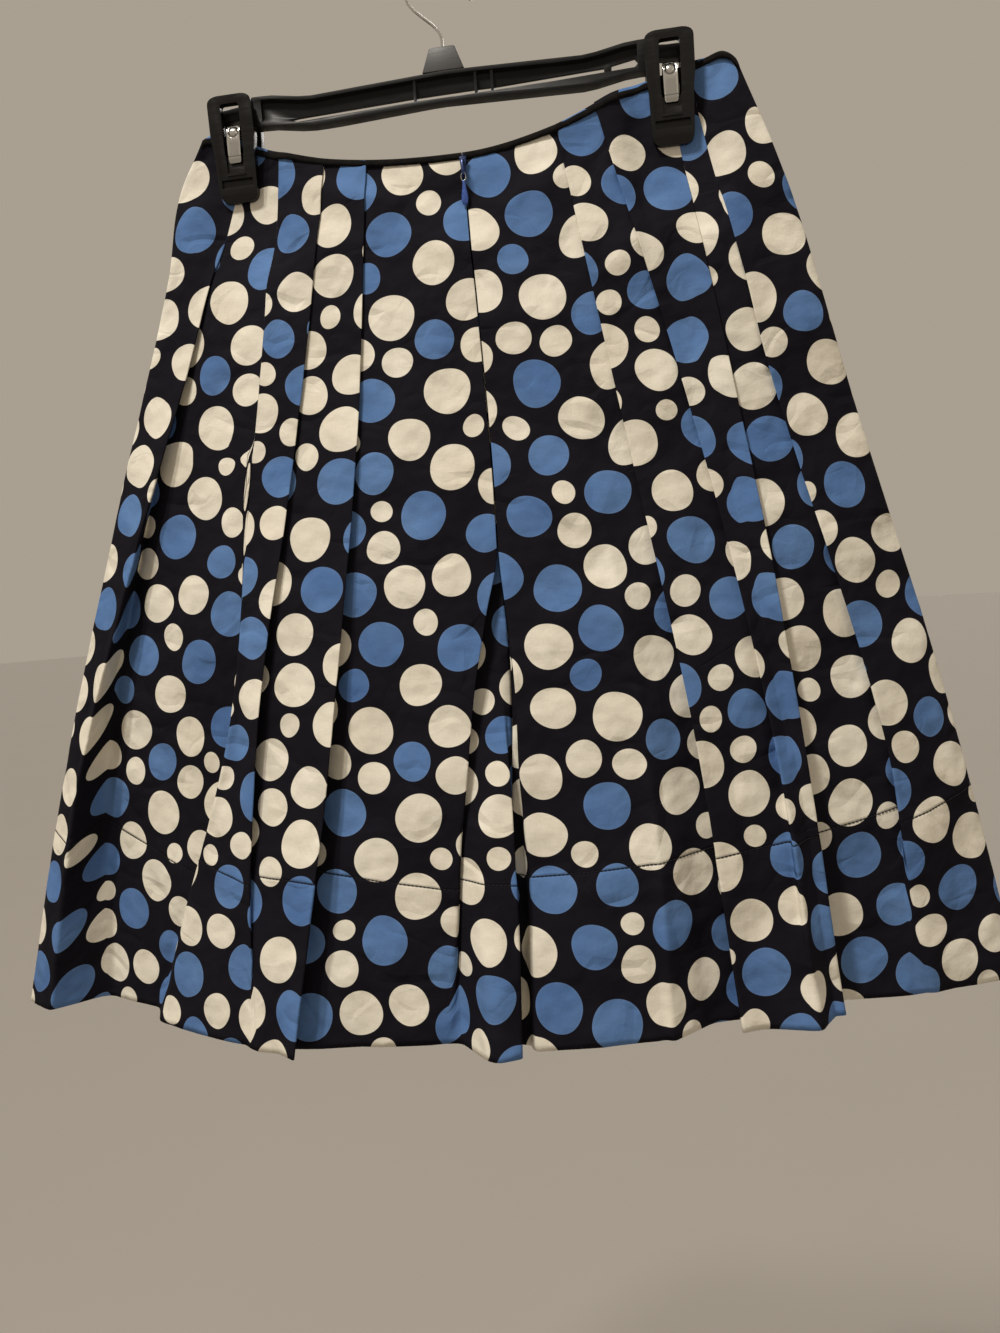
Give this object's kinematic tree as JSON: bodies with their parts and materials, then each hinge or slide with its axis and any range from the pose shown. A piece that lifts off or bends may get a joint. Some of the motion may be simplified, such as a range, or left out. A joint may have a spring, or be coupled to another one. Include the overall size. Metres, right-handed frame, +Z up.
{
  "type": "pleated skirt on a clip hanger",
  "caption": "Pleated a-line cotton skirt with irregular dots, zipped at the centre and pinched by the waist on a plastic clip hanger with a wire hook.",
  "frame": {"origin": "the point of the hook's wire, inside its top bend, that rests on a rail", "axes": "+X along the hanger's bar, -Y out of the side with the zip, +Z up"},
  "size_m": [0.7784, 0.2267, 0.7671],
  "materials": {
    "cotton": "near-black plain-weave cotton with large irregular cream and blue dots",
    "binding": "black cotton tape",
    "plastic": "satin black moulded plastic",
    "cap": "dull grey moulded plastic, bare",
    "steel": "bright plated steel",
    "enamel": "blue enamel over metal"
  },
  "bodies": {
    "skirt on hanger": {"back_left_panel": "cotton", "back_left_waist_binding": "binding", "back_right_panel": "cotton", "back_right_waist_binding": "binding", "front_panel": "cotton", "front_waist_binding": "binding", "zip_slider": "enamel", "hanger_bar": "plastic", "hanger_size_cap": "cap", "hanger_hook": "steel", "left_clip_near_jaw": "plastic", "left_clip_far_jaw": "plastic", "left_clip_spring": "steel", "right_clip_near_jaw": "plastic", "right_clip_far_jaw": "plastic", "right_clip_spring": "steel"},
    "zip pull": {"zip_pull": "enamel"}
  },
  "joints": [
    {"name": "zip_pull_swing", "type": "hinge", "parent": "skirt on hanger", "child": "zip pull", "pos_m": [0.01184, -0.02114, -0.1582], "axis": [-1, 0, 0], "range_deg": [-3, 150]}
  ]
}
